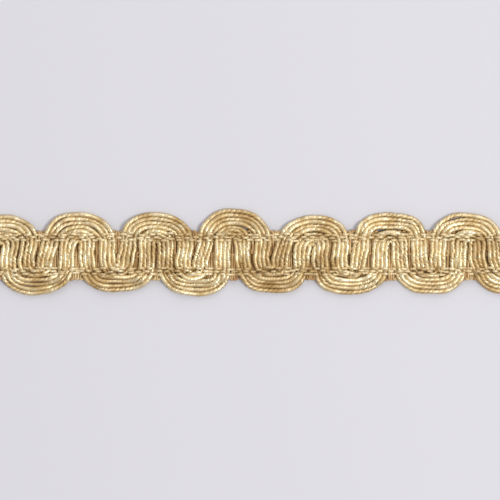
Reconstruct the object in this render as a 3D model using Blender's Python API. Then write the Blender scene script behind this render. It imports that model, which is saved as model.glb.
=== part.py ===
"""Scalloped braid trim, a cut length that lies flat with its face up.

Two bundles of four wrapped metallic cords wind back and forth past each other. The top bundle makes the
wide scallops of the top edge and the bottom bundle those of the bottom edge. Each turns in a narrow loop
inside the other one's scallops. Two rows of chain stitches, one on each side of the middle line, bind them.

The braid runs along X, its width is along Y with the top edge at +Y, and it lies on the plane Z = 0.
"""

from collections import namedtuple
from math import cos, pi, radians, sin, sqrt

import bmesh
import bpy
from mathutils import Vector

MM = 0.001

# Bundles of cords
CORDS = 4
CORD_PITCH = 0.58 * MM
CORD_HEIGHT = 0.64 * MM
GROOVE_DEPTH = 0.20 * MM
BUNDLE_WIDTH = CORDS * CORD_PITCH
BUNDLE_GAP = 0.36 * MM
WIDE_LOOP_STEPS = 10
NARROW_LOOP_STEPS = 7
WELD = 0.001 * MM
SHARP_ANGLE = radians(60)

# Heights above the surface that the trim lies on
BUNDLE_MIDDLE_Z = 0.87 * MM
SCALLOP_DROOP = 0.42 * MM
DROOP_START_Y = 3.60 * MM
DROOP_END_Y = 5.20 * MM
BACK_RAIL_TOP_Z = 0.25 * MM
FRONT_RAIL_BOTTOM_Z = 1.49 * MM
STITCH_TOP_Z = 1.78 * MM
STITCH_DIP_Z = 1.66 * MM
VALLEY_TOP_Z = 1.52 * MM

# Rows of chain stitches
ROW_Y = 2.60 * MM
ROW_WIDTH = 0.50 * MM
STITCH_LENGTH = 2.00 * MM
POST_WIDTH = 0.22 * MM
WINDOW_CORNER = 0.20 * MM

# The middle line stands a little off the middle of the whole outline, because the highest scallop is on
# the top edge
MIDDLE_LINE_Y = -0.175 * MM

# How far a group of cords moves to the right for each unit of its way from the bottom edge to the top edge
TOP_BUNDLE_LEAN = 0.11
BOTTOM_BUNDLE_LEAN = 0.07

# One row for each repeat of the braid, in millimetres. The first four columns say where the four groups of
# cords cross the middle line: the top bundle going up, the bottom bundle going up and coming down again,
# and the top bundle coming down. The next two are for the scallop of the top edge that these groups make,
# and the last two for the scallop of the bottom edge to the right of it: how far its rim reaches from the
# middle line, and how far its crown stands to the right of its groups. The trim is cut across the top
# scallops of the first and the last row.
Repeat = namedtuple(
    "Repeat",
    "top_up bottom_up bottom_down top_down reach_top crown_top reach_bottom crown_bottom",
)
REPEATS = [
    Repeat(-50.89, -47.96, -45.19, -42.26, 6.10, 0.00, 6.15, 0.10),
    Repeat(-39.26, -36.34, -33.56, -30.79, 5.85, 0.45, 6.20, -0.43),
    Repeat(-27.83, -24.90, -21.86, -19.01, 6.20, -0.15, 5.85, -0.13),
    Repeat(-15.90, -12.94, -10.16, -7.35, 6.15, -0.45, 6.45, 0.45),
    Repeat(-4.46, -1.58, 1.35, 4.16, 6.80, -0.30, 6.00, 0.24),
    Repeat(7.28, 10.24, 13.09, 15.94, 5.80, 0.45, 6.20, 0.00),
    Repeat(19.01, 22.05, 24.94, 27.79, 6.20, -0.20, 6.15, 0.45),
    Repeat(30.79, 33.71, 36.49, 39.26, 6.15, -0.27, 6.10, 0.10),
    Repeat(42.26, 45.19, 47.96, 50.89, 6.10, 0.00, 6.15, 0.00),
]
CUT_LEFT = (REPEATS[0].top_up + REPEATS[0].top_down) / 2 * MM
CUT_RIGHT = (REPEATS[-1].top_up + REPEATS[-1].top_down) / 2 * MM

# A loop of a bundle: its two groups' places on the middle line and their lean, the distance of its spring
# line and of its crown from the middle line, the shear of its scallop, its side (1 for the top edge, -1 for
# the bottom one) and its steps
Loop = namedtuple("Loop", "left right lean spring crown shear side steps")

TOP, BOTTOM = 1, -1
GOLD = (0.74, 0.56, 0.25, 1.0)
THREAD_GOLD = (0.66, 0.47, 0.20, 1.0)


def clear_scene():
    for item in list(bpy.data.objects):
        bpy.data.objects.remove(item, do_unlink=True)


def metallic(name, colour, roughness):
    material = bpy.data.materials.new(name)
    material.use_nodes = True
    shader = material.node_tree.nodes["Principled BSDF"]
    shader.inputs["Base Color"].default_value = colour
    shader.inputs["Metallic"].default_value = 0.9
    shader.inputs["Roughness"].default_value = roughness
    return material


def loops_of_scallop(wide, wide_lean, narrow, narrow_lean, reach, crown_shift, side):
    """The wide loop that makes a scallop and the narrow loop inside it, round one centre on a spring line.

    wide and narrow are (left, right) places of their groups on the middle line, in millimetres.
    """
    narrow_crown = reach * MM - BUNDLE_WIDTH * 1.5 - BUNDLE_GAP
    spring = narrow_crown - (narrow[1] - narrow[0]) / 2 * MM
    shear = crown_shift * MM / (reach * MM - spring)
    loops = []
    for (left, right), lean, crown, steps in (
        (wide, wide_lean, reach * MM - BUNDLE_WIDTH / 2, WIDE_LOOP_STEPS),
        (narrow, narrow_lean, narrow_crown, NARROW_LOOP_STEPS),
    ):
        loops.append(Loop(left * MM, right * MM, lean, spring, crown, shear, side, steps))
    return loops


def all_loops():
    """The loops of the top bundle and those of the bottom bundle, each list from left to right."""
    top_bundle, bottom_bundle = [], []
    for row, after in zip(REPEATS, [*REPEATS[1:], None]):
        wide, narrow = loops_of_scallop(
            (row.top_up, row.top_down),
            TOP_BUNDLE_LEAN,
            (row.bottom_up, row.bottom_down),
            BOTTOM_BUNDLE_LEAN,
            row.reach_top,
            row.crown_top,
            TOP,
        )
        top_bundle.append(wide)
        bottom_bundle.append(narrow)
        if after is None:
            break
        wide, narrow = loops_of_scallop(
            (row.bottom_down, after.bottom_up),
            BOTTOM_BUNDLE_LEAN,
            (row.top_down, after.top_up),
            TOP_BUNDLE_LEAN,
            row.reach_bottom,
            row.crown_bottom,
            BOTTOM,
        )
        bottom_bundle.append(wide)
        top_bundle.append(narrow)
    return top_bundle, bottom_bundle


def bundle_height(from_middle):
    """The height of a bundle's middle, level across the rows of stitches and lower towards a rim."""
    share = (from_middle - DROOP_START_Y) / (DROOP_END_Y - DROOP_START_Y)
    share = min(1.0, max(0.0, share))
    return BUNDLE_MIDDLE_Z - SCALLOP_DROOP * share * share * (3 - 2 * share)


def loop_centre(loop, rise):
    """The middle of a loop in X, at a rise above its spring line."""
    return (loop.left + loop.right) / 2 + loop.lean * loop.side * loop.spring + loop.shear * rise


def loop_points(loop):
    """Points along the middle of a bundle round one loop, left to right."""
    half_span = (loop.right - loop.left) / 2
    points = []
    for step in range(loop.steps + 1):
        angle = pi * step / loop.steps
        rise = (loop.crown - loop.spring) * sin(angle)
        x = loop_centre(loop, rise) - half_span * cos(angle)
        y = loop.side * (loop.spring + rise)
        points.append(Vector((x, y + MIDDLE_LINE_Y, bundle_height(abs(y)))))
    return points


def bundle_profile(name):
    """The section of a bundle, a rib for each cord and a groove between each two, as a flat closed curve."""
    half = CORD_HEIGHT / 2
    upper = []
    for index in range(CORDS):
        x = (index - (CORDS - 1) / 2) * CORD_PITCH
        upper.append((x, half))
        if index < CORDS - 1:
            upper.append((x + CORD_PITCH / 2, half - GROOVE_DEPTH))
    lower = [(x, -y) for x, y in reversed(upper)]
    edge = BUNDLE_WIDTH / 2
    outline = [(-edge, 0.0), *upper, (edge, 0.0), *lower]
    curve = bpy.data.curves.new(name, "CURVE")
    curve.dimensions = "2D"
    curve.fill_mode = "NONE"
    add_outline(curve, outline)
    return bpy.data.objects.new(name, curve)


def add_outline(curve, outline):
    spline = curve.splines.new("POLY")
    spline.points.add(len(outline) - 1)
    for point, (x, y) in zip(spline.points, outline):
        point.co = (x, y, 0.0, 1.0)
    spline.use_cyclic_u = True


def cut_across(mesh, x, keep_right):
    """Cuts a mesh square across at x and closes the cut ends of its cords."""
    shape = bmesh.new()
    shape.from_mesh(mesh)
    bmesh.ops.remove_doubles(shape, verts=shape.verts, dist=WELD)
    cut = bmesh.ops.bisect_plane(
        shape,
        geom=shape.verts[:] + shape.edges[:] + shape.faces[:],
        plane_co=(x, 0.0, 0.0),
        plane_no=(1.0, 0.0, 0.0),
        clear_outer=not keep_right,
        clear_inner=keep_right,
    )
    rims = [item for item in cut["geom_cut"] if isinstance(item, bmesh.types.BMEdge)]
    bmesh.ops.holes_fill(shape, edges=rims)
    bmesh.ops.recalc_face_normals(shape, faces=shape.faces)
    shape.to_mesh(mesh)
    shape.free()


def bundle(name, loops, profile, material):
    """One bundle of cords as a single ribbed body, swept along its loops and cut off at both ends."""
    curve = bpy.data.curves.new(name, "CURVE")
    curve.dimensions = "3D"
    curve.twist_mode = "Z_UP"
    curve.bevel_mode = "OBJECT"
    curve.bevel_object = profile
    curve.use_fill_caps = True
    path = [point for loop in loops for point in loop_points(loop)]
    spline = curve.splines.new("POLY")
    spline.points.add(len(path) - 1)
    for point, place in zip(spline.points, path):
        point.co = (*place, 1.0)
    swept = bpy.data.objects.new(name, curve)
    bpy.context.scene.collection.objects.link(swept)
    graph = bpy.context.evaluated_depsgraph_get()
    mesh = bpy.data.meshes.new_from_object(swept.evaluated_get(graph))
    bpy.data.objects.remove(swept)
    bpy.data.curves.remove(curve)
    cut_across(mesh, CUT_LEFT, True)
    cut_across(mesh, CUT_RIGHT, False)
    mesh.name = name
    mesh.materials.clear()
    mesh.materials.append(material)
    mesh.shade_smooth()
    mesh.set_sharp_from_angle(angle=SHARP_ANGLE)
    return bpy.data.objects.new(name, mesh)


def rim_at_row(loop, right_side):
    """Where the rim of a wide loop crosses its row of stitches."""
    rise = ROW_Y - loop.spring
    share = rise / (loop.crown + BUNDLE_WIDTH / 2 - loop.spring)
    half_span = (loop.right - loop.left + BUNDLE_WIDTH) / 2 * sqrt(1 - share * share)
    return loop_centre(loop, rise) + (half_span if right_side else -half_span)


def row_end(cut, post, is_open):
    """The end of a row's outline at a cut, from the back up. If open, it has a slot as far as a post."""
    slot = [
        (cut, BACK_RAIL_TOP_Z),
        (post, BACK_RAIL_TOP_Z),
        (post, FRONT_RAIL_BOTTOM_Z),
        (cut, FRONT_RAIL_BOTTOM_Z),
    ]
    return [(cut, 0.0), *(slot if is_open else []), (cut, STITCH_DIP_Z)]


def row_outline(stitches, valleys, open_ends):
    """The outer outline of a row in X and Z, with a hump at each stitch and a dip at each valley."""
    half = STITCH_LENGTH / 2
    upper = [(x, VALLEY_TOP_Z) for x in valleys]
    for x in stitches:
        upper += [
            (x - half, STITCH_DIP_Z),
            (x - half / 2, STITCH_TOP_Z),
            (x + half / 2, STITCH_TOP_Z),
            (x + half, STITCH_DIP_Z),
        ]
    upper = [(x, z) for x, z in sorted(upper) if CUT_LEFT + half / 4 < x < CUT_RIGHT - half / 4]
    left_end = row_end(CUT_LEFT, valleys[0] - POST_WIDTH / 2, open_ends)
    right_end = row_end(CUT_RIGHT, valleys[-1] + POST_WIDTH / 2, open_ends)
    return [*left_end, *upper, *reversed(right_end)]


def window_outline(left, right):
    """A window of a row, where one scallop's groups of cords pass between the front and the back thread."""
    low, high, corner = BACK_RAIL_TOP_Z, FRONT_RAIL_BOTTOM_Z, WINDOW_CORNER
    return [
        (left, low),
        (right, low),
        (right, high - corner),
        (right - corner, high),
        (left + corner, high),
        (left, high - corner),
    ]


def stitch_row(name, loops, side, material):
    """One row of chain stitches: a front and a back rail, joined by a post in each valley of its edge."""
    wide = [loop for loop in loops if loop.side == side]
    valleys = []
    for loop, after in zip(wide, wide[1:]):
        valleys.append((rim_at_row(loop, True) + rim_at_row(after, False)) / 2)
    if side == BOTTOM:
        valleys = [CUT_LEFT, *valleys, CUT_RIGHT]
    curve = bpy.data.curves.new(name, "CURVE")
    curve.dimensions = "2D"
    curve.fill_mode = "BOTH"
    curve.extrude = ROW_WIDTH / 2
    add_outline(curve, row_outline(group_places(side), valleys, side == TOP))
    half = POST_WIDTH / 2
    for left, right in zip(valleys, valleys[1:]):
        add_outline(curve, window_outline(left + half, right - half))
    curve.materials.append(material)
    row = bpy.data.objects.new(name, curve)
    row.location = (0.0, side * ROW_Y + MIDDLE_LINE_Y, 0.0)
    row.rotation_euler = (pi / 2, 0.0, 0.0)
    return row


def group_places(side):
    """Where the groups of cords cross a row of stitches, left to right."""
    places = []
    for row in REPEATS:
        places += [
            row.top_up * MM + side * ROW_Y * TOP_BUNDLE_LEAN,
            row.bottom_up * MM + side * ROW_Y * BOTTOM_BUNDLE_LEAN,
            row.bottom_down * MM + side * ROW_Y * BOTTOM_BUNDLE_LEAN,
            row.top_down * MM + side * ROW_Y * TOP_BUNDLE_LEAN,
        ]
    return places


def main():
    clear_scene()
    trim = bpy.data.collections.new("Braid trim")
    guides = bpy.data.collections.new("Guides")
    bpy.context.scene.collection.children.link(trim)
    bpy.context.scene.collection.children.link(guides)
    cord_gold = metallic("Wrapped cord", GOLD, 0.32)
    thread_gold = metallic("Chain thread", THREAD_GOLD, 0.42)
    profile = bundle_profile("bundle_profile")
    profile.hide_render = True
    profile.display_type = "WIRE"
    guides.objects.link(profile)
    top_loops, bottom_loops = all_loops()
    for piece in (
        bundle("cord_bundle_top", top_loops, profile, cord_gold),
        bundle("cord_bundle_bottom", bottom_loops, profile, cord_gold),
        stitch_row("stitch_row_top", top_loops, TOP, thread_gold),
        stitch_row("stitch_row_bottom", bottom_loops, BOTTOM, thread_gold),
    ):
        trim.objects.link(piece)


if __name__ == "__main__":
    main()
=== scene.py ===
"""Gold scalloped braid trim, laid out as a Blender add-on.

Eight wrapped metallic cords run in two bundles that wind back and forth past each other. The top bundle
makes the wide scallops of the top edge and the bottom bundle those of the bottom edge, and each turns in
narrow loops inside the other one's scallops. Two rows of stitches bind them, and behind each row a filling
thread runs to and fro. The trim lies flat with its face up, and both its ends are cut square.
"""

from collections import namedtuple
from functools import lru_cache
from math import cos, pi, sin, sqrt

import bpy
from bpy.props import FloatProperty, FloatVectorProperty, IntProperty, PointerProperty
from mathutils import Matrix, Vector, noise
from mathutils.kdtree import KDTree


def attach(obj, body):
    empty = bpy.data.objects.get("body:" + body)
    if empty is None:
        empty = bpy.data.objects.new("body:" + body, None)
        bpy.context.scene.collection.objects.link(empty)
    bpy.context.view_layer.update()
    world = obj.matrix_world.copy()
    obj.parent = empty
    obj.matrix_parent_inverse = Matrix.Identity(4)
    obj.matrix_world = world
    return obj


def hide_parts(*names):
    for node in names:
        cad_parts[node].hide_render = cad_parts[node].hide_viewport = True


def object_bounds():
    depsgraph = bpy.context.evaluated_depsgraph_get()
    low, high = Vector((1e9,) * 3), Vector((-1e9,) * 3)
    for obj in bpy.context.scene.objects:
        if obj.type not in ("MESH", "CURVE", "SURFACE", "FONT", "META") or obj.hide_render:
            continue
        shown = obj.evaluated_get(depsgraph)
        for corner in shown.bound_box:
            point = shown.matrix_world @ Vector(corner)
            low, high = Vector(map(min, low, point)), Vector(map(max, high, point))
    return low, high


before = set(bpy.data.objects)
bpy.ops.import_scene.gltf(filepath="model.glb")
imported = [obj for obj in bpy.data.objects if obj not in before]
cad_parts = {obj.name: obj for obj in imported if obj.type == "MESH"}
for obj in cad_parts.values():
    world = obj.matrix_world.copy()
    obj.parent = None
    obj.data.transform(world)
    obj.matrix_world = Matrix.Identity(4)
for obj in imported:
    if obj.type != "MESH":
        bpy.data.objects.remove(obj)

bl_info = {
    "name": "Scalloped braid trim",
    "version": (1, 0, 0),
    "blender": (4, 5, 0),
    "location": "3D View > Sidebar > Braid",
    "description": "Winds, binds and cuts a length of gold scalloped braid trim",
    "category": "Add Mesh",
}

# Every size below is in millimetres where nothing else is said.
MM = 0.001
CAD_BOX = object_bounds()
CUT_LEFT, CUT_RIGHT = CAD_BOX[0].x / MM, CAD_BOX[1].x / MM
MIDDLE_LINE_Y = -0.175
TOP, BOTTOM = 1, -1

# The same rows as in the part's source: where the four groups of cords of each repeat cross the middle line,
# then reach and crown shift of its top scallop, and of the bottom scallop to its right.
Repeat = namedtuple(
    "Repeat",
    "top_up bottom_up bottom_down top_down reach_top crown_top reach_bottom crown_bottom",
)
REPEATS = [
    Repeat(-50.89, -47.96, -45.19, -42.26, 6.10, 0.00, 6.15, 0.10),
    Repeat(-39.26, -36.34, -33.56, -30.79, 5.85, 0.45, 6.20, -0.43),
    Repeat(-27.83, -24.90, -21.86, -19.01, 6.20, -0.15, 5.85, -0.13),
    Repeat(-15.90, -12.94, -10.16, -7.35, 6.15, -0.45, 6.45, 0.45),
    Repeat(-4.46, -1.58, 1.35, 4.16, 6.80, -0.30, 6.00, 0.24),
    Repeat(7.28, 10.24, 13.09, 15.94, 5.80, 0.45, 6.20, 0.00),
    Repeat(19.01, 22.05, 24.94, 27.79, 6.20, -0.20, 6.15, 0.45),
    Repeat(30.79, 33.71, 36.49, 39.26, 6.15, -0.27, 6.10, 0.10),
    Repeat(42.26, 45.19, 47.96, 50.89, 6.10, 0.00, 6.15, 0.00),
]
# How each scallop differs from a plain arch: how far its shoulders stand to the right, its fullness, which is
# 2 for an ellipse and more for a squarer arch, and how much fuller its innermost cord is than its outermost.
# One row for each row above.
Shape = namedtuple("Shape", "shoulder_top full_top flat_top shoulder_bottom full_bottom flat_bottom")
SHAPES = [
    Shape(0.20, 2.3, 0.2, 0.00, 2.4, 1.0),
    Shape(0.20, 2.3, 0.2, 0.10, 2.4, 1.0),
    Shape(0.25, 2.3, 0.0, 0.10, 2.4, 1.6),
    Shape(0.10, 2.3, 0.8, 0.00, 2.4, 1.4),
    Shape(0.00, 2.15, 0.2, 0.06, 2.4, 0.6),
    Shape(0.20, 2.3, 0.0, 0.05, 2.4, 1.2),
    Shape(0.15, 2.3, 1.8, 0.05, 2.4, 1.0),
    Shape(0.00, 2.3, 0.3, 0.45, 2.4, 0.6),
    Shape(0.10, 2.3, 0.2, 0.10, 2.4, 1.0),
]
# How far each group moves to the right for each unit of its way from the bottom edge to the top edge
Lean = namedtuple("Lean", "top_up bottom_up bottom_down top_down")
LEANS = [
    Lean(0.20, 0.05, 0.05, 0.20),
    Lean(0.20, 0.05, 0.20, 0.32),
    Lean(0.28, 0.02, 0.02, 0.12),
    Lean(0.15, 0.05, 0.05, 0.32),
    Lean(0.28, 0.08, 0.03, 0.30),
    Lean(0.26, 0.06, 0.15, 0.26),
    Lean(0.15, 0.03, 0.02, 0.06),
    Lean(0.04, 0.10, 0.03, 0.06),
    Lean(0.10, 0.05, 0.05, 0.10),
]

# A loop of a bundle: the middles of its two groups at its spring line, the distance of that line and of its
# scallop's rim from the middle line, the shifts of its shoulders and crown, its fullness and how much fuller
# its innermost cord is, its side, and whether it is a wide loop that makes a scallop or a narrow one inside
# the other bundle's.
Loop = namedtuple("Loop", "left right spring reach shoulder crown_shift full flat side wide")

CORDS = 4
# Points of a cord round a wide loop, round a narrow loop and along a group, and smoothings of its flat path
WIDE_STEPS, NARROW_STEPS, LEG_STEPS, SMOOTHINGS = 48, 28, 10, 4
# Half the width of a group, and the room between a wide loop and the narrow one inside it
HALF_GROUP, LOOP_GAP = 1.16, 0.36
# Fullness of the narrow loops, and how far the groups of those in the bottom scallops move together
NARROW_FULL, TUCK = 2.6, 0.16
# How close the turns of a narrow loop's cords lie to each other, as a share of the cord pitch, by side
TURN_SHARE = {TOP: 0.74, BOTTOM: 0.52}
# How far from a row's line its stitches pinch the groups together and press them down
PINCH_REACH = 0.9
# Distances from the middle line: where a scallop starts to droop and over which length it does, and where
# the bulge of the groups ends
DROOP_START, DROOP_LENGTH, BULGE_END = 3.6, 1.6, 1.9

# How strands push each other apart: in how many rounds, by which share of the room that they lack, with
# which shares sideways and up or down, and how many points along itself a strand leaves out
SETTLE_ROUNDS, PUSH_SHARE, PUSH_SIDEWAYS, PUSH_UPWARDS, OWN_POINTS = 14, 0.2, 0.35, 1.5, 8
# Distance of two cords that touch, and lowest height of a cord's middle, as shares of its diameter
CORD_TOUCH, CORD_REST = 0.84, 0.52
# How far inside the cuts a cord's uneven path ends
END_MARGIN = 0.4

# Distances from the middle line of a row's stitches and of the filling thread under them, and how wide that
# thread's zigzags are
Row = namedtuple("Row", "chain filler filler_width")
ROWS = {TOP: Row(2.42, 2.20, 2.15), BOTTOM: Row(2.66, 2.62, 2.50)}

# The way of the thread through one stitch: share of the stitch's length, and level, from 1 on the face to -1
# on the back
Turn = namedtuple("Turn", "along level")
STITCH = [
    Turn(0.00, -0.50), Turn(0.06, 0.90), Turn(0.25, 1.00),
    Turn(0.44, 0.90), Turn(0.52, -0.50), Turn(0.78, -1.00),
]
# The lines of stitches in a row, counted outwards, and how far each outer line is shifted along the row, as a
# share of a stitch's length
STITCH_LINES, LINE_SHIFT = (-1.0, 0.0, 1.0), 0.2
# How far a stitch strays along and across its row, as shares of its length and of the distance of two lines
STITCH_STRAY_ALONG, STITCH_STRAY_ACROSS = 0.5, 0.9
# One way of the filling thread across its row: shares of the zigzag's width and of its step along the row.
# Its two last points at each end make the turn.
Leg = namedtuple("Leg", "across along")
FILLER_LEG = [Leg(-0.5, -0.18), Leg(-0.46, 0.0), Leg(0.0, 0.0), Leg(0.46, 0.0), Leg(0.5, 0.18)]
# How far the filling thread's inner turns reach further in, at least and by chance, as shares of its width,
# what is added to the chance before it counts, and from where on a point belongs to an inner turn
# The inner turns reach into the gaps between the groups, where their brown is partly thread and partly stands
# in for the warm shade there.
FILLER_INWARD, FILLER_CHANCE, CHANCE_ADDED, INNER_TURN = 0.52, 0.4, 0.2, -0.4
# How far the filling thread strays along the row, and across it as a share of its width
FILLER_STRAY_ALONG, FILLER_STRAY_ACROSS = 0.12, 0.10
# How far inside the cuts the stitches and the filling thread end
STITCH_MARGIN, FILLER_MARGIN = 0.4, 0.2
# Points to a turn of each thread, rounds of pulling a thread taut, and smoothings after them
STITCH_STEPS, FILLER_STEPS, TAUT_ROUNDS, ROUNDINGS = 6, 5, 6, 4
# From this level on, a thread lies on the cords' face or back
ON_CORDS = 0.8

# How often the twist drifts and the grooves deepen along a strand, for each metre, by how many turns the
# twist drifts at most, and how much thinner the strand gets with it, as a share of its radius
DRIFT_RATE, LOOSE_RATE, DRIFT_TURNS, DRIFT_THINNING = 900.0, 150.0, 1.5, 0.16
# Points round a core and rings along its stub, and the stub's length as a multiple of the strand's radius
CORE_SIDES, CORE_RINGS, CORE_STUB = 24, 9, 2.0
# Scales of the foil's blotches, tarnished patches and crinkles and of the core's fibres, for each metre
BLOTCHES, PATCHES, CRINKLES, FIBRES = 620.0, 230.0, 4200.0, 9000.0
# Heights above the floor between which the painted shade of what lies low fades out, and how strong that
# shade is below them
PAINTED_SHADE_FULL, PAINTED_SHADE_NONE, PAINTED_SHADE_STRENGTH = 0.45, 1.15, 0.40

# How each strand is drawn and dressed: points round it, rings to each turn of its plies, its material's name,
# the names of its two colours, how metallic it is, and the depth and pitch of its strips of foil
Strand = namedtuple("Strand", "sides rings material light deep metallic strip_depth strip_pitch")
STRANDS = {
    "cord": Strand(16, 8.0, "Wrapped cord foil", "foil_light", "foil_deep", 0.88, 0.030, 0.40),
    "chain": Strand(8, 4.0, "Chain thread foil", "foil_light", "foil_deep", 0.45, 0.015, 0.12),
    "filler": Strand(7, 3.5, "Filling thread", "foil_deep", "filler", 0.25, 0.010, 0.12),
}
# A thread's plies: their pitch and the depth of their grooves as shares of its thickness, and their number
THREAD_PLY_PITCH, THREAD_PLY_DEPTH, THREAD_PLIES = 1.05, 0.12, 2
THREAD_CORE_LENGTH = 0.02

# The stage, in metres and watts
FLOOR_HALF = 1.5
WORLD_COLOUR, WORLD_STRENGTH = (1.0, 0.98, 1.0, 1.0), 0.64
Light = namedtuple("Light", "name place width power")
LIGHTS = (
    Light("key", (0.27, -0.07, 0.54), 0.20, 1.8),
    Light("panel", (0.06, 0.50, 0.40), 0.60, 1.05),
)
CAMERA_PLACE, FRAMED_WIDTH = (2.51 * MM, 0.35 * MM, 0.60), 0.075


def length(name, description, default):
    return FloatProperty(
        name=name, description=description, default=default * MM, min=0.0, precision=5,
        unit="LENGTH", subtype="DISTANCE",
    )


def factor(name, description, default, lowest, highest):
    return FloatProperty(
        name=name, description=description, default=default, min=lowest, max=highest, subtype="FACTOR",
    )


def paint(name, description, default):
    return FloatVectorProperty(
        name=name, description=description, default=default, size=3, min=0.0, max=1.0, subtype="COLOR",
    )


class BraidSizes(bpy.types.PropertyGroup):
    cord_diameter: length("Cord diameter", "Thickness of one wrapped cord", 0.77)
    cord_pitch: length("Cord pitch", "Distance between two cords of a bundle", 0.63)
    ply_pitch: length("Ply pitch", "Distance along a cord between two plies", 0.76)
    ply_depth: length("Ply depth", "Depth of the grooves between the plies of a cord", 0.055)
    ply_roundness: factor("Ply roundness", "1 for round plies, less for flat ones", 0.6, 0.1, 1.0)
    plies: IntProperty(name="Plies", description="Wound strands twisted into a cord", default=2, min=1, max=6)
    thread_diameter: length("Thread diameter", "Thickness of the stitching thread", 0.47)
    line_distance: length("Line distance", "Distance between two lines of stitches of a row", 0.42)
    stitch_length: length("Stitch length", "Distance between two stitches of a line", 1.45)
    filler_diameter: length("Filler diameter", "Thickness of the filling thread", 0.40)
    filler_pitch: length("Filler pitch", "Distance between two zigzags of the filling thread", 0.68)
    bundle_height: length("Bundle height", "Height of the middle of a bundle above the floor", 0.80)
    scallop_droop: length("Scallop droop", "How far a scallop's rim sinks below its groups of cords", 0.38)
    row_sink: length("Row sink", "How deep the stitches press the cords down", 0.34)
    bedding: length("Bedding", "How deep the filling thread beds itself in the soft cords", 0.15)
    stitch_bedding: length("Stitch bedding", "How deep the stitches bed themselves in the soft cords", 0.13)
    leg_rise: length("Leg rise", "How far the groups of cords bulge up at the middle line", 0.28)
    wander: length("Wander", "How far a cord strays from its even path", 0.14)
    lift: length("Lift", "How far a cord strays up and down", 0.16)
    pinch: factor("Pinch", "Share of its width that a group keeps under its stitches", 0.84, 0.5, 1.0)
    spread: factor("Spread", "Share of its width that a group keeps at the middle line", 0.86, 0.8, 1.3)
    seed: IntProperty(name="Seed", description="Seed of all small unevenness", default=7, min=0)


class BraidColours(bpy.types.PropertyGroup):
    foil_light: paint("Light foil", "Foil where it is brightest", (0.91, 0.805, 0.545))
    foil_deep: paint("Deep foil", "Foil where it is most yellow", (0.71, 0.54, 0.27))
    # The groove colour also takes the painted shade of the foil, in the grooves and on what lies low.
    groove: paint("Groove", "Tarnish in the grooves of the wrapping", (0.40, 0.25, 0.09))
    filler: paint("Filler", "Filling thread, where it is darkest", (0.40, 0.19, 0.06))
    core: paint("Core", "Cotton core at a cut end", (0.78, 0.66, 0.45))
    floor: paint("Floor", "Floor under the trim", (0.615, 0.612, 0.645))


def sizes():
    return bpy.context.scene.braid_sizes


def colours():
    return bpy.context.scene.braid_colours


# The way of the cords

def stray_at(x, y, z):
    """Three smooth uneven values from -1 to 1 for a place.

    The callers' factors only keep sides, strands and seeds apart in the noise.
    """
    return Vector([noise.noise(Vector((x + shift, y, z))) for shift in (0.0, 131.7, 263.3)])


def eased(share):
    """A smooth step from 0 to 1."""
    share = min(1.0, max(0.0, share))
    return share * share * (3 - 2 * share)


def loops_of_scallop(outer, inner, reach, shoulder, crown_shift, full, flat, side):
    """The wide loop that makes a scallop and the narrow loop inside it, round one centre on a spring line.

    outer and inner hold (place, lean) of the two groups of each.
    """
    spring = reach - 3 * HALF_GROUP - LOOP_GAP - (inner[1][0] - inner[0][0]) / 2
    loops = []
    for groups, wide in ((outer, True), (inner, False)):
        left, right = (place + lean * side * spring for place, lean in groups)
        if side == BOTTOM and not wide:
            left, right = left + TUCK, right - TUCK
        loops.append(Loop(left, right, spring, reach, shoulder, crown_shift, full, flat, side, wide))
    return loops


def all_loops():
    """The loops of both bundles, each list from left to right."""
    bundles = {TOP: [], BOTTOM: []}
    rows = [
        {name: (getattr(row, name), getattr(lean, name)) for name in Lean._fields}
        for row, lean in zip(REPEATS, LEANS)
    ]
    for row, shape, groups, after in zip(REPEATS, SHAPES, rows, [*rows[1:], None]):
        wide, narrow = loops_of_scallop(
            (groups["top_up"], groups["top_down"]), (groups["bottom_up"], groups["bottom_down"]),
            row.reach_top, shape.shoulder_top, row.crown_top, shape.full_top, shape.flat_top, TOP,
        )
        bundles[TOP].append(wide)
        bundles[BOTTOM].append(narrow)
        if after is None:
            break
        wide, narrow = loops_of_scallop(
            (groups["bottom_down"], after["bottom_up"]), (groups["top_down"], after["top_up"]),
            row.reach_bottom, shape.shoulder_bottom, row.crown_bottom, shape.full_bottom, shape.flat_bottom,
            BOTTOM,
        )
        bundles[BOTTOM].append(wide)
        bundles[TOP].append(narrow)
    return bundles


def loop_centre(loop, rise):
    """The middle of a loop at a height above its spring line.

    It lies on a parabola through the shifts of its spring line, shoulders and crown.
    """
    share = rise / (loop.reach - loop.spring)
    shoulder = loop.shoulder + loop.crown_shift / 2
    shift = share * (4 * shoulder - loop.crown_shift) + share**2 * 2 * (loop.crown_shift - 2 * shoulder)
    return (loop.left + loop.right) / 2 + shift


def loop_point(loop, offset, crown, full, share):
    """A point at a share of the way round a loop, for a cord at an offset outward from its group's middle."""
    angle = pi * share
    power = 2 / full
    rise = (crown - loop.spring) * sin(angle) ** power
    half_span = (loop.right - loop.left) / 2 + offset
    across = half_span * abs(cos(angle)) ** power
    return loop_centre(loop, rise) + (-across if share < 0.5 else across), loop.side * (loop.spring + rise)


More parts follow.
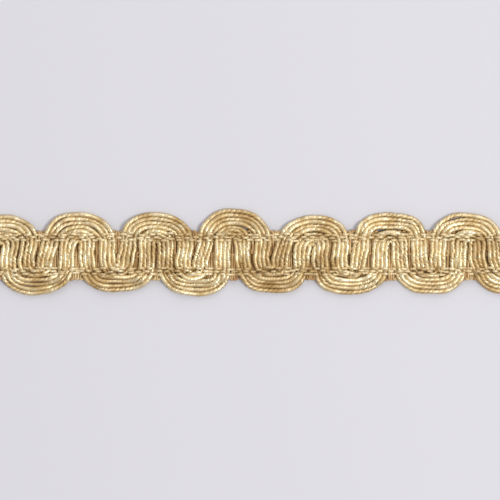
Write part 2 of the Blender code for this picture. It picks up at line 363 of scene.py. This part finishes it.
def cord_loop_points(loop, index):
    """The middle of one cord round one loop, in the plane. Cord 0 is outermost in wide loops."""
    size = sizes()
    pitch, diameter = size.cord_pitch / MM, size.cord_diameter / MM
    outward = (CORDS - 1) / 2 - index
    if loop.wide:
        steps, crown_place, full = WIDE_STEPS, index, loop.full + loop.flat * index / (CORDS - 1)
    else:
        steps, full, outward = NARROW_STEPS, NARROW_FULL, -outward
        crown_place = CORDS + (CORDS - 1 - index) * TURN_SHARE[loop.side]
    crown = loop.reach - diameter / 2 - crown_place * pitch
    row_distance = ROWS[loop.side].chain
    points = []
    for step in range(steps + 1):
        x, y = loop_point(loop, outward * pitch, crown, full, step / steps)
        if loop.wide:
            middle_x, _ = loop_point(loop, 0.0, crown, full, step / steps)
            tight = 1 - (1 - size.pinch) * eased(1 - abs(abs(y) - row_distance) / PINCH_REACH)
            x = middle_x + (x - middle_x) * tight
        points.append((x, y))
    return points


def flat_path(loops, index):
    """The middle line of one cord in the plane, from one cut to the other."""
    flat, before = [], None
    for loop in loops:
        points = cord_loop_points(loop, index)
        if before:
            last = flat[-1]
            for step in range(1, LEG_STEPS):
                share = step / LEG_STEPS
                x, y = (start + (stop - start) * share for start, stop in zip(last, points[0]))
                middle = before.right + (loop.left - before.right) * share
                flat.append((middle + (x - middle) * (1 + (sizes().spread - 1) * sin(pi * share)), y))
        flat += points
        before = loop
    for _ in range(SMOOTHINGS):
        inner = [
            tuple((a + 2 * b + c) / 4 for a, b, c in zip(before, point, after))
            for before, point, after in zip(flat, flat[1:], flat[2:])
        ]
        flat = [flat[0], *inner, flat[-1]]
    half = len(flat) // 2
    first = max(number for number in range(half) if flat[number][0] <= CUT_LEFT) + 1
    last = min(number for number in range(half, len(flat)) if flat[number][0] >= CUT_RIGHT) - 1
    return [(CUT_LEFT, flat[first][1]), *flat[first : last + 1], (CUT_RIGHT, flat[last][1])]


def uneven_path(flat, index, bundle_seed):
    """A cord's path in space, with its small unevenness."""
    size = sizes()
    path, travelled = [], 0.0
    for number, (x, y) in enumerate(flat):
        if number:
            travelled += sqrt((x - flat[number - 1][0]) ** 2 + (y - flat[number - 1][1]) ** 2)
        # The noise seldom leaves -0.5 to 0.5, so it is doubled.
        stray = stray_at(travelled * 0.3, index * 9.1, bundle_seed * 3.7 + size.seed)
        lift = stray.z * 2 * size.lift / MM
        stray *= 2 * size.wander / MM
        row = ROWS[TOP if y > 0 else BOTTOM]
        droop = size.scallop_droop / MM * eased((abs(y) - DROOP_START) / DROOP_LENGTH)
        sink = size.row_sink / MM * eased(1 - abs(abs(y) - row.chain) / PINCH_REACH)
        rise = size.leg_rise / MM * eased(1 - abs(y) / BULGE_END)
        height = size.bundle_height / MM - droop - sink + rise + lift
        path.append(Vector((x + stray.x, y + stray.y + MIDDLE_LINE_Y, height)))
    return path


def settle(paths, reach, floor):
    """Pushes strands apart, mostly up and down, until they hardly pass through each other or the floor."""
    owners = [(strand, number) for strand, path in enumerate(paths) for number in range(len(path))]
    for _ in range(SETTLE_ROUNDS):
        tree = KDTree(len(owners))
        for key, (strand, number) in enumerate(owners):
            tree.insert(paths[strand][number], key)
        tree.balance()
        for strand, path in enumerate(paths):
            pushes = [Vector() for _ in path]
            for number, point in enumerate(path):
                for other, key, distance in tree.find_range(point, reach):
                    if owners[key][0] == strand and abs(owners[key][1] - number) < OWN_POINTS:
                        continue
                    away = point - other
                    away = Vector((away.x * PUSH_SIDEWAYS, away.y * PUSH_SIDEWAYS, away.z * PUSH_UPWARDS))
                    if away.length > 1e-6:
                        pushes[number] += away.normalized() * (reach - distance) * PUSH_SHARE
            for number, point in enumerate(path):
                near = pushes[max(0, number - 2) : number + 3]
                point += sum(near, Vector()) / len(near)
                point.z = max(point.z, floor)


def ended_on_cuts(path):
    """The path without what strays past the cuts, square to them at its ends."""
    inside = [point for point in path[1:-1] if CUT_LEFT + END_MARGIN < point.x < CUT_RIGHT - END_MARGIN]
    first, last = inside[0], inside[-1]
    return [Vector((CUT_LEFT, first.y, first.z)), *inside, Vector((CUT_RIGHT, last.y, last.z))]


@lru_cache(maxsize=2)
def settled_cords(settings):
    """The paths of all eight cords, by side, for one tuple of settings."""
    loops = all_loops()
    keys = [(side, index) for side in (TOP, BOTTOM) for index in range(CORDS)]
    paths = [uneven_path(flat_path(loops[side], index), index, side + 2) for side, index in keys]
    diameter = sizes().cord_diameter / MM
    settle(paths, diameter * CORD_TOUCH, diameter * CORD_REST)
    paths = [ended_on_cuts(path) for path in paths]
    return {side: paths[number : number + CORDS] for side, number in ((TOP, 0), (BOTTOM, CORDS))}


def cord_paths(side):
    size = sizes()
    settings = tuple(getattr(size, name) for name in BraidSizes.__annotations__)
    return settled_cords(settings)[side]


# The way of the threads

class Drape:
    """Tells at which height a thread lies on the cords, or hangs below them, at a place in the plane."""

    def __init__(self, thread_diameter, bedding):
        size = sizes()
        self.middle = size.bundle_height / MM
        self.reach = size.cord_diameter / MM / 2 + thread_diameter / 2 - bedding
        points = []
        for side in (TOP, BOTTOM):
            for path in cord_paths(side):
                for before, after in zip(path, path[1:]):
                    points += [before, (before + after) / 2]
        self.points = points
        self.tree = KDTree(len(points))
        for key, point in enumerate(points):
            self.tree.insert((point.x, point.y, 0.0), key)
        self.tree.balance()

    def heights(self, x, y):
        """Lowest height on the face and highest one on the back that clear the cords."""
        face, back = self.middle, self.middle
        for _, key, distance in self.tree.find_range((x, y, 0.0), self.reach):
            rise = sqrt(max(0.0, self.reach**2 - distance**2))
            face = max(face, self.points[key].z + rise)
            back = min(back, self.points[key].z - rise)
        return face, back


def smooth_way(turns, steps):
    """Points on a smooth curve through given points, each as many steps from the next."""
    way = []
    for before, first, second, after in zip([turns[0], *turns], turns, turns[1:], [*turns[2:], turns[-1]]):
        for step in range(steps):
            share = step / steps
            way.append(
                first
                + (second - before) * (share / 2)
                + (2 * before - 5 * first + 4 * second - after) * (share**2 / 2)
                + (3 * first - before - 3 * second + after) * (share**3 / 2)
            )
    return [*way, turns[-1]]


def laid(way, drape, levels, diameter):
    """Lays a thread's way on, between or under the cords by its levels and pulls it taut, in metres."""
    middle = drape.middle
    heights = [drape.heights(point.x, point.y) for point in way]
    for point, (face, back), level in zip(way, heights, levels):
        point.z = middle + (face - middle) * level if level > 0 else middle + (middle - back) * level
    for _ in range(TAUT_ROUNDS):
        for number in range(1, len(way) - 1):
            taut = (way[number - 1].z + way[number + 1].z) / 2
            face, back = heights[number]
            if levels[number] > ON_CORDS:
                way[number].z = max(face, taut)
            elif levels[number] < -ON_CORDS:
                way[number].z = min(back, taut)
            else:
                way[number].z = taut
    for _ in range(ROUNDINGS):
        inner = [(before + 2 * point + after) / 4 for before, point, after in zip(way, way[1:], way[2:])]
        way = [way[0], *inner, way[-1]]
    return [Vector((point.x, point.y, max(point.z, diameter / 2))) * MM for point in way]


def chain_path(side):
    """The way of one row's thread to and fro through its lines of stitches, in metres."""
    size, row = sizes(), ROWS[side]
    stitch_length, line_distance = size.stitch_length / MM, size.line_distance / MM
    count = int((CUT_RIGHT - CUT_LEFT - 2 * STITCH_MARGIN) / stitch_length)
    turns = []
    for line, across in enumerate(STITCH_LINES):
        way_along = -1 if line % 2 else 1
        for number in range(count):
            start = way_along * (number - (count - 1) / 2 - LINE_SHIFT * abs(across)) * stitch_length
            stray = stray_at(start * 0.9, side * 4.0 + across * 2.0, size.seed * 1.3)
            for turn in STITCH:
                x = start + way_along * stitch_length * (turn.along - 0.5 + STITCH_STRAY_ALONG * stray.x)
                y = side * (row.chain + line_distance * (across + STITCH_STRAY_ACROSS * stray.y))
                turns.append(Vector((x, y + MIDDLE_LINE_Y, turn.level)))
    way = smooth_way(turns, STITCH_STEPS)
    levels = [max(-1.0, min(1.0, point.z)) for point in way]
    diameter = size.thread_diameter / MM
    return laid(way, Drape(diameter, size.stitch_bedding / MM), levels, diameter)


def filler_path(side):
    """The way of the thread that runs to and fro across a row and fills its valleys, in metres."""
    size, row = sizes(), ROWS[side]
    step = size.filler_pitch / 2 / MM
    count = int((CUT_RIGHT - CUT_LEFT - 2 * FILLER_MARGIN) / step)
    turns = []
    for number in range(count):
        start = CUT_LEFT + FILLER_MARGIN + number * step
        way_across = 1 if number % 2 else -1
        chance = noise.noise(Vector((start * 0.55, side * 3.3, size.seed * 0.7)))
        inward = FILLER_INWARD + FILLER_CHANCE * max(0.0, CHANCE_ADDED + chance)
        for leg in FILLER_LEG:
            stray = stray_at(start * 1.7, leg.across + side * 7.0, size.seed * 2.1)
            x = start + FILLER_STRAY_ALONG * stray.x + leg.along * step
            across = leg.across * way_across
            across += FILLER_STRAY_ACROSS * stray.y - (inward if across < INNER_TURN else 0.0)
            y = side * (row.filler + row.filler_width * across)
            turns.append(Vector((x, y + MIDDLE_LINE_Y, 0.0)))
    way = smooth_way(turns, FILLER_STEPS)
    diameter = size.filler_diameter / MM
    drape = Drape(diameter, size.bedding / MM)
    levels = []
    for point in way:
        face, _ = drape.heights(point.x, point.y)
        levels.append(-1.0 if face > drape.middle else 0.0)
    return laid(way, drape, levels, diameter)


# Nodes, for geometry and for materials

def node(tree, kind, settings=None, **inputs):
    """Adds a node. settings are its properties, and inputs are values or sockets for its sockets.

    A socket is named, with _ for a space, or given as i and its number.
    """
    made = tree.nodes.new(kind)
    for name, value in (settings or {}).items():
        setattr(made, name, value)
    for name, value in inputs.items():
        socket = made.inputs[int(name[1:])] if name[1:].isdigit() else made.inputs[name.replace("_", " ")]
        if isinstance(value, bpy.types.NodeSocket):
            tree.links.new(value, socket)
        else:
            socket.default_value = value
    return made


def maths(tree, operation, *values):
    """A Math node's result."""
    inputs = {f"i{index}": value for index, value in enumerate(values)}
    return node(tree, "ShaderNodeMath", {"operation": operation}, **inputs).outputs[0]


def weighted(tree, base, *parts):
    """A base and, added to it one after the other, each part's value times its weight."""
    for value, weight in parts:
        base = maths(tree, "MULTIPLY_ADD", value, weight, base)
    return base


def hump(tree, turns):
    """1 in the middle of each turn, and 0 between two turns."""
    return maths(tree, "ABSOLUTE", maths(tree, "SINE", maths(tree, "MULTIPLY", turns, pi)))


def mapped(tree, value, low, high, to_low=0.0, to_high=1.0, blend="LINEAR"):
    """A value between low and high, put between to_low and to_high and kept there."""
    return node(
        tree, "ShaderNodeMapRange", {"interpolation_type": blend},
        Value=value, From_Min=low, From_Max=high, To_Min=to_low, To_Max=to_high,
    ).outputs[0]


def clamped(tree, value):
    return node(tree, "ShaderNodeClamp", Value=value).outputs[0]


def colour_mix(tree, share, first, second):
    inputs = {"i0": share, "i6": first, "i7": second}
    return node(tree, "ShaderNodeMix", {"data_type": "RGBA"}, **inputs).outputs[2]


def opaque(colour):
    return (*colour, 1.0)


def add_input(tree, name, kind, default=None):
    socket = tree.interface.new_socket(name=name, in_out="INPUT", socket_type="NodeSocket" + kind)
    if default is not None:
        socket.default_value = default


def add_output(tree, name, kind):
    tree.interface.new_socket(name=name, in_out="OUTPUT", socket_type="NodeSocket" + kind)


# The winding of a strand

def kept(tree, geometry, name, value, domain="POINT"):
    """The geometry with a value kept on it as an attribute."""
    return node(
        tree, "GeometryNodeStoreNamedAttribute", {"data_type": "FLOAT", "domain": domain},
        Geometry=geometry, Name=name, Value=value,
    ).outputs[0]


def read(tree, name):
    return node(tree, "GeometryNodeInputNamedAttribute", {"data_type": "FLOAT"}, Name=name).outputs[0]


def noise_along(tree, along, rate, seed, detail):
    """Smooth noise along a strand, at a rate for each metre."""
    place = node(tree, "ShaderNodeCombineXYZ", X=maths(tree, "MULTIPLY", along, rate), Y=seed).outputs[0]
    return node(
        tree, "ShaderNodeTexNoise", {"noise_dimensions": "2D"}, Vector=place, Scale=1.0, Detail=detail,
    ).outputs[0]


def piece_of_curve(tree, curve, start, end):
    """The curve from one length along it to another."""
    return node(tree, "GeometryNodeTrimCurve", {"mode": "LENGTH"}, Curve=curve, i4=start, i5=end).outputs[0]


def cut_off(tree, geometry, half_length):
    """Presses whatever stands past the cuts flat on them."""
    place = tree.nodes.new("GeometryNodeInputPosition").outputs[0]
    apart = node(tree, "ShaderNodeSeparateXYZ", Vector=place).outputs
    inside = maths(tree, "MAXIMUM", apart["X"], maths(tree, "MULTIPLY", half_length, -1.0))
    inside = maths(tree, "MINIMUM", inside, half_length)
    placed = node(tree, "ShaderNodeCombineXYZ", X=inside, Y=apart["Y"], Z=apart["Z"]).outputs[0]
    return node(tree, "GeometryNodeSetPosition", Geometry=geometry, Position=placed).outputs[0]


def core_ends(tree, curve, whole, given):
    """A short stub of the soft core at each end of a strand."""
    reach = maths(tree, "MULTIPLY", given["Radius"], CORE_STUB)
    stubs = tree.nodes.new("GeometryNodeJoinGeometry")
    for start, end in ((0.0, reach), (maths(tree, "SUBTRACT", whole, reach), whole)):
        tree.links.new(piece_of_curve(tree, curve, start, end), stubs.inputs[0])
    even = node(
        tree, "GeometryNodeResampleCurve", {"mode": "COUNT"}, Curve=stubs.outputs[0], Count=CORE_RINGS,
    ).outputs[0]
    circle = node(
        tree, "GeometryNodeCurvePrimitiveCircle", Resolution=CORE_SIDES,
        Radius=maths(tree, "MULTIPLY", given["Radius"], given["Core share"]),
    ).outputs[0]
    tube = node(tree, "GeometryNodeCurveToMesh", Curve=even, Profile_Curve=circle, Fill_Caps=True)
    core = cut_off(tree, tube.outputs[0], given["Half length"])
    core = node(tree, "GeometryNodeSetMaterial", Geometry=core, Material=given["Core material"]).outputs[0]
    return kept(tree, core, "core", 1.0, "FACE")


def plain_wrapping(tree, curve, whole, given):
    """The tube of the wrapping, which knows each point's way along the strand and turn around it."""
    uncored = maths(tree, "SUBTRACT", whole, given["Core length"])
    wrapped = piece_of_curve(tree, curve, given["Core length"], uncored)
    spacing = maths(tree, "DIVIDE", given["Ridge pitch"], given["Rings per ridge"])
    even = node(tree, "GeometryNodeResampleCurve", {"mode": "LENGTH"}, Curve=wrapped, Length=spacing)
    travelled = tree.nodes.new("GeometryNodeSplineParameter").outputs["Length"]
    marked = kept(tree, even.outputs[0], "along", travelled)
    circle = node(tree, "GeometryNodeCurvePrimitiveCircle", Resolution=given["Sides"], Radius=given["Radius"])
    position = tree.nodes.new("GeometryNodeInputIndex").outputs[0]
    turned = kept(tree, circle.outputs[0], "around", maths(tree, "DIVIDE", position, given["Sides"]))
    return node(
        tree, "GeometryNodeCurveToMesh", Curve=marked, Profile_Curve=turned, Fill_Caps=True,
    ).outputs[0]


def ridged_wrapping(tree, tube, given):
    """The tube with the ridges of its plies, and with the attributes that its foil is painted from."""
    along, around = read(tree, "along"), read(tree, "around")
    drift = noise_along(tree, along, DRIFT_RATE, given["Seed"], 1.0)
    stretch = noise_along(tree, along, LOOSE_RATE, given["Seed"], 0.0)
    loose = mapped(tree, stretch, 0.40, 0.62, 0.2, 1.8, "SMOOTHSTEP")
    turns = maths(tree, "DIVIDE", along, given["Ridge pitch"])
    turns = maths(tree, "ADD", turns, maths(tree, "MULTIPLY", around, given["Plies"]))
    turns = maths(tree, "ADD", turns, maths(tree, "MULTIPLY", drift, DRIFT_TURNS))
    ridge = maths(tree, "POWER", hump(tree, turns), given["Ridge roundness"])
    groove = maths(tree, "SUBTRACT", 1.0, ridge)
    shade = node(
        tree, "FunctionNodeRandomValue", {"data_type": "FLOAT"},
        ID=maths(tree, "FLOOR", turns), Seed=given["Seed"],
    ).outputs[1]
    depth = maths(tree, "MULTIPLY", given["Ridge depth"], loose)
    thin = maths(tree, "MULTIPLY", maths(tree, "MULTIPLY", given["Radius"], DRIFT_THINNING), drift)
    inward = maths(tree, "MULTIPLY", maths(tree, "MULTIPLY_ADD", groove, depth, thin), -1.0)
    angle = maths(tree, "MULTIPLY", around, 2 * pi)
    for name, value in (
        ("groove", groove),
        ("shade", shade),
        ("loose", loose),
        ("around_cosine", maths(tree, "COSINE", angle)),
        ("around_sine", maths(tree, "SINE", angle)),
    ):
        tube = kept(tree, tube, name, value)
    normal = tree.nodes.new("GeometryNodeInputNormal").outputs[0]
    offset = node(
        tree, "ShaderNodeVectorMath", {"operation": "SCALE"}, Vector=normal, Scale=inward,
    ).outputs[0]
    return node(tree, "GeometryNodeSetPosition", Geometry=tube, Offset=offset).outputs[0]


def wrapped_cord_tree():
    """Takes a path and gives a strand of twisted plies, with its core at both cuts."""
    name = "Wrapped cord"
    if name in bpy.data.node_groups:
        return bpy.data.node_groups[name]
    size = sizes()
    tree = bpy.data.node_groups.new(name, "GeometryNodeTree")
    for label, kind, default in (
        ("Path", "Geometry", None),
        ("Radius", "Float", size.cord_diameter / 2),
        ("Ridge pitch", "Float", size.ply_pitch),
        ("Ridge depth", "Float", size.ply_depth),
        ("Ridge roundness", "Float", 0.5),
        ("Plies", "Int", size.plies),
        ("Sides", "Int", 12),
        ("Rings per ridge", "Float", 8.0),
        ("Seed", "Int", 0),
        ("Half length", "Float", CUT_RIGHT * MM),
        ("Core length", "Float", 0.1 * MM),
        ("Core share", "Float", 0.62),
        ("Material", "Material", None),
        ("Core material", "Material", None),
    ):
        add_input(tree, label, kind, default)
    add_output(tree, "Cord", "Geometry")
    given = tree.nodes.new("NodeGroupInput").outputs
    curve = node(tree, "GeometryNodeMeshToCurve", Mesh=given["Path"]).outputs[0]
    whole = node(tree, "GeometryNodeCurveLength", Curve=curve).outputs[0]
    wrapping = ridged_wrapping(tree, plain_wrapping(tree, curve, whole, given), given)
    joined = tree.nodes.new("GeometryNodeJoinGeometry")
    tree.links.new(core_ends(tree, curve, whole, given), joined.inputs[0])
    tree.links.new(cut_off(tree, wrapping, given["Half length"]), joined.inputs[0])
    # Sides have four corners and shade smoothly. Caps at the cuts have more and stay flat.
    corners = tree.nodes.new("GeometryNodeInputMeshFaceNeighbors").outputs["Vertex Count"]
    smooth = node(
        tree, "GeometryNodeSetShadeSmooth", Geometry=joined.outputs[0],
        Selection=maths(tree, "LESS_THAN", corners, 5.0),
    )
    real = node(tree, "GeometryNodeRealizeInstances", Geometry=smooth.outputs[0])
    dressed = node(
        tree, "GeometryNodeSetMaterial", Geometry=real.outputs[0],
        Selection=maths(tree, "LESS_THAN", read(tree, "core"), 0.5), Material=given["Material"],
    )
    tree.links.new(dressed.outputs[0], tree.nodes.new("NodeGroupOutput").inputs[0])
    return tree


def polyline(name, points):
    """A mesh of points joined by edges, which the node tree takes as a path."""
    mesh = bpy.data.meshes.new(name)
    mesh.from_pydata(points, [(number, number + 1) for number in range(len(points) - 1)], [])
    made = bpy.data.objects.new(name, mesh)
    bpy.context.scene.collection.objects.link(made)
    return made


def made_plain(source, tree, values, name):
    """Runs a node tree on a helper object, and returns its result as a plain mesh object of that name."""
    modifier = source.modifiers.new(tree.name, "NODES")
    modifier.node_group = tree
    for item in tree.interface.items_tree:
        if item.in_out == "INPUT" and item.name in values:
            modifier[item.identifier] = values[item.name]
    graph = bpy.context.evaluated_depsgraph_get()
    mesh = bpy.data.meshes.new_from_object(source.evaluated_get(graph))
    leftover = source.data
    source.modifiers.remove(modifier)
    bpy.data.objects.remove(source)
    bpy.data.meshes.remove(leftover)
    mesh.name = name
    made = bpy.data.objects.new(name, mesh)
    bpy.context.scene.collection.objects.link(made)
    return made


# Foil and cotton

def texture(tree, place, scale, detail):
    return node(tree, "ShaderNodeTexNoise", Vector=place, Scale=scale, Detail=detail).outputs[0]


def foil_group():
    """Colour, roughness and height of wound metallic foil, from the attributes that the node tree keeps."""
    name = "Wound foil"
    if name in bpy.data.node_groups:
        return bpy.data.node_groups[name]
    tree = bpy.data.node_groups.new(name, "ShaderNodeTree")
    for label, kind, default in (
        ("Light", "Color", opaque(colours().foil_light)),
        ("Deep", "Color", opaque(colours().foil_deep)),
        ("Groove", "Color", opaque(colours().groove)),
        ("Strip pitch", "Float", 0.25 * MM),
        ("Tilt", "Float", 5.5),
    ):
        add_input(tree, label, kind, default)
    for label, kind in (("Colour", "Color"), ("Roughness", "Float"), ("Height", "Float")):
        add_output(tree, label, kind)
    given = tree.nodes.new("NodeGroupInput").outputs
    groove, shade, along, loose, cosine, sine = (
        node(tree, "ShaderNodeAttribute", {"attribute_name": label}).outputs["Fac"]
        for label in ("groove", "shade", "along", "loose", "around_cosine", "around_sine")
    )
    place = tree.nodes.new("ShaderNodeTexCoord").outputs["Object"]
    blotch = mapped(tree, texture(tree, place, BLOTCHES, 1.0), 0.36, 0.62, blend="SMOOTHSTEP")
    patch = mapped(tree, texture(tree, place, PATCHES, 1.5), 0.48, 0.66)
    crinkle = texture(tree, place, CRINKLES, 1.0)
    # Each turn of the foil strip has a value of its own.
    around = maths(tree, "DIVIDE", maths(tree, "ARCTAN2", sine, cosine), 2 * pi)
    turns = maths(tree, "ADD", maths(tree, "DIVIDE", along, given["Strip pitch"]), around)
    turn = maths(tree, "FLOOR", turns)
    strip = node(tree, "ShaderNodeTexWhiteNoise", {"noise_dimensions": "1D"}, W=turn).outputs[0]
    tone = clamped(tree, weighted(tree, -0.12, (blotch, 0.55), (shade, 0.25), (strip, 0.28), (patch, 0.35)))
    foil = colour_mix(tree, tone, given["Light"], given["Deep"])
    # Darker towards the groove colour: tarnish and painted shade in the grooves, painted shade on what lies
    # low, tarnish in patches.
    groove_tarnish_and_shade = maths(tree, "MULTIPLY", maths(tree, "POWER", groove, 1.3), weighted(tree, 0.10, (loose, 0.28)))
    # Painted shade: the lower the foil lies, the darker, as on the cords' lower sides, where stitches press
    # them down and on the drooping scallops.
    level = node(tree, "ShaderNodeSeparateXYZ", Vector=place).outputs[2]
    low = mapped(tree, level, PAINTED_SHADE_NONE * MM, PAINTED_SHADE_FULL * MM, 0.0, PAINTED_SHADE_STRENGTH)
    dark = clamped(tree, weighted(tree, maths(tree, "ADD", groove_tarnish_and_shade, low), (patch, 0.40)))
    colour = colour_mix(tree, dark, foil, given["Groove"])
    rough = weighted(tree, 0.26, (blotch, 0.16), (shade, 0.08), (dark, 0.3))
    # Each strip is rounded, crinkled and tilted along the strand by its own amount.
    tilt = maths(tree, "MULTIPLY", maths(tree, "SUBTRACT", strip, 0.5), given["Tilt"])
    height = weighted(tree, maths(tree, "POWER", hump(tree, turns), 0.6), (crinkle, 0.8))
    height = weighted(tree, height, (maths(tree, "FRACT", turns), tilt))
    result = tree.nodes.new("NodeGroupOutput").inputs
    for label, value in (("Colour", colour), ("Roughness", rough), ("Height", height)):
        tree.links.new(value, result[label])
    return tree


def foil_material(strand):
    """The foil of one kind of strand."""
    if strand.material in bpy.data.materials:
        return bpy.data.materials[strand.material]
    material = bpy.data.materials.new(strand.material)
    material.use_nodes = True
    tree = material.node_tree
    shader = tree.nodes["Principled BSDF"]
    foil = node(
        tree, "ShaderNodeGroup", {"node_tree": foil_group()},
        Light=opaque(getattr(colours(), strand.light)), Deep=opaque(getattr(colours(), strand.deep)),
        Groove=opaque(colours().groove), Strip_pitch=strand.strip_pitch * MM,
    ).outputs
    bump = node(tree, "ShaderNodeBump", Distance=strand.strip_depth * MM, Strength=0.6, Height=foil["Height"])
    tree.links.new(foil["Colour"], shader.inputs["Base Color"])
    tree.links.new(foil["Roughness"], shader.inputs["Roughness"])
    tree.links.new(bump.outputs[0], shader.inputs["Normal"])
    shader.inputs["Metallic"].default_value = strand.metallic
    return material


def core_material():
    """Twisted cotton, dull and a little uneven."""
    name = "Cotton core"
    if name in bpy.data.materials:
        return bpy.data.materials[name]
    material = bpy.data.materials.new(name)
    material.use_nodes = True
    tree = material.node_tree
    shader = tree.nodes["Principled BSDF"]
    place = tree.nodes.new("ShaderNodeTexCoord").outputs["Object"]
    fibres = texture(tree, place, FIBRES, 2.0)
    shaded = tuple(0.55 * value for value in colours().core)
    cotton = colour_mix(tree, mapped(tree, fibres, 0.35, 0.65), opaque(shaded), opaque(colours().core))
    bump = node(tree, "ShaderNodeBump", Distance=0.04 * MM, Strength=0.8, Height=fibres)
    tree.links.new(cotton, shader.inputs["Base Color"])
    tree.links.new(bump.outputs[0], shader.inputs["Normal"])
    shader.inputs["Roughness"].default_value = 0.85
    return material


def floor_material():
    material = bpy.data.materials.new("Pale floor")
    material.use_nodes = True
    shader = material.node_tree.nodes["Principled BSDF"]
    shader.inputs["Base Color"].default_value = opaque(colours().floor)
    shader.inputs["Roughness"].default_value = 0.9
    return material


# Pieces and stage

def wind(name, path, kind, values, node_name):
    """Winds one strand along a path, as a piece that stands in for a node of the part."""
    strand = STRANDS[kind]
    values = {
        **values,
        "Sides": strand.sides,
        "Rings per ridge": strand.rings,
        "Material": foil_material(strand),
        "Core material": core_material(),
    }
    piece = made_plain(polyline(name + "_path", path), wrapped_cord_tree(), values, name)
    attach(piece, "root")
    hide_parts(node_name)


def wind_bundle(side, node_name):
    """The four cords of one bundle, each its own piece."""
    size = sizes()
    for index, path in enumerate(cord_paths(side)):
        values = {
            "Radius": size.cord_diameter / 2,
            "Ridge pitch": size.ply_pitch,
            "Ridge depth": size.ply_depth,
            "Ridge roundness": size.ply_roundness,
            "Plies": size.plies,
            "Seed": size.seed + index * 11 + side,
        }
        name = f"{node_name}_cord_{index + 1}"
        wind(name, [point * MM for point in path], "cord", values, node_name)


def bind_row(side, node_name):
    """The stitching thread of one row, and the filling thread under it."""
    size = sizes()
    for kind, path, diameter in (
        ("chain", chain_path(side), size.thread_diameter),
        ("filler", filler_path(side), size.filler_diameter),
    ):
        values = {
            "Radius": diameter / 2,
            "Ridge pitch": diameter * THREAD_PLY_PITCH,
            "Ridge depth": diameter * THREAD_PLY_DEPTH,
            "Plies": THREAD_PLIES,
            "Seed": size.seed + 50 + side,
            "Core length": THREAD_CORE_LENGTH * MM,
        }
        wind(f"{node_name}_{kind}", path, kind, values, node_name)


def add_light(light):
    """A round lamp that faces the trim."""
    lamp = bpy.data.lights.new(light.name, "AREA")
    lamp.shape = "DISK"
    lamp.size = light.width
    lamp.energy = light.power
    made = bpy.data.objects.new(light.name, lamp)
    made.location = light.place
    made.rotation_euler = (-Vector(light.place)).to_track_quat("-Z", "Y").to_euler()
    bpy.context.scene.collection.objects.link(made)


def add_floor(scene):
    far = FLOOR_HALF
    mesh = bpy.data.meshes.new("floor")
    mesh.from_pydata([(-far, -far, 0), (far, -far, 0), (far, far, 0), (-far, far, 0)], [], [(0, 1, 2, 3)])
    mesh.materials.append(floor_material())
    floor = bpy.data.objects.new("floor", mesh)
    scene.collection.objects.link(floor)


def add_camera(scene):
    """A camera straight above the trim, far enough away to see it almost flat."""
    camera = bpy.data.cameras.new("camera")
    camera.sensor_width = 36.0
    camera.lens = camera.sensor_width * CAMERA_PLACE[2] / FRAMED_WIDTH
    camera.clip_start = 0.01
    made = bpy.data.objects.new("camera", camera)
    made.location = CAMERA_PLACE
    scene.collection.objects.link(made)
    scene.camera = made


class BRAID_OT_stage(bpy.types.Operator):
    """Set the floor, the soft studio light and the camera straight above the trim"""

    bl_idname = "braid.stage"
    bl_label = "Set the stage"

    def execute(self, context):
        scene = context.scene
        add_floor(scene)
        world = bpy.data.worlds.new("Studio")
        world.use_nodes = True
        background = world.node_tree.nodes["Background"]
        background.inputs["Color"].default_value = WORLD_COLOUR
        background.inputs["Strength"].default_value = WORLD_STRENGTH
        scene.world = world
        for light in LIGHTS:
            add_light(light)
        add_camera(scene)
        scene.view_settings.view_transform = "Standard"
        return {"FINISHED"}


class BRAID_OT_top_cords(bpy.types.Operator):
    """Wind the four cords that make the scallops of the top edge"""

    bl_idname = "braid.top_cords"
    bl_label = "Wind top cords"

    def execute(self, context):
        wind_bundle(TOP, "cord_bundle_top")
        return {"FINISHED"}


class BRAID_OT_bottom_cords(bpy.types.Operator):
    """Wind the four cords that make the scallops of the bottom edge"""

    bl_idname = "braid.bottom_cords"
    bl_label = "Wind bottom cords"

    def execute(self, context):
        wind_bundle(BOTTOM, "cord_bundle_bottom")
        return {"FINISHED"}


class BRAID_OT_top_stitches(bpy.types.Operator):
    """Bind the groups of cords with the row of stitches above the middle line"""

    bl_idname = "braid.top_stitches"
    bl_label = "Bind top row"

    def execute(self, context):
        bind_row(TOP, "stitch_row_top")
        return {"FINISHED"}


class BRAID_OT_bottom_stitches(bpy.types.Operator):
    """Bind the groups of cords with the row of stitches below the middle line"""

    bl_idname = "braid.bottom_stitches"
    bl_label = "Bind bottom row"

    def execute(self, context):
        bind_row(BOTTOM, "stitch_row_bottom")
        return {"FINISHED"}


class BRAID_PT_panel(bpy.types.Panel):
    """Lists the steps of making the trim, and its sizes and colours"""

    bl_label = "Scalloped braid trim"
    bl_idname = "BRAID_PT_panel"
    bl_space_type = "VIEW_3D"
    bl_region_type = "UI"
    bl_category = "Braid"

    def draw(self, context):
        column = self.layout.column(align=True)
        for operator in OPERATORS:
            column.operator(operator.bl_idname)
        for group in (context.scene.braid_sizes, context.scene.braid_colours):
            box = self.layout.box().column()
            for name in group.__annotations__:
                box.prop(group, name)


OPERATORS = (
    BRAID_OT_stage,
    BRAID_OT_top_cords,
    BRAID_OT_bottom_cords,
    BRAID_OT_top_stitches,
    BRAID_OT_bottom_stitches,
)
CLASSES = (BraidSizes, BraidColours, *OPERATORS, BRAID_PT_panel)


def register():
    for item in CLASSES:
        bpy.utils.register_class(item)
    bpy.types.Scene.braid_sizes = PointerProperty(type=BraidSizes)
    bpy.types.Scene.braid_colours = PointerProperty(type=BraidColours)


def unregister():
    del bpy.types.Scene.braid_colours
    del bpy.types.Scene.braid_sizes
    for item in reversed(CLASSES):
        bpy.utils.unregister_class(item)


def main():
    register()
    bpy.ops.braid.stage()
    bpy.ops.braid.top_cords()
    bpy.ops.braid.bottom_cords()
    bpy.ops.braid.top_stitches()
    bpy.ops.braid.bottom_stitches()


if __name__ == "__main__":
    main()
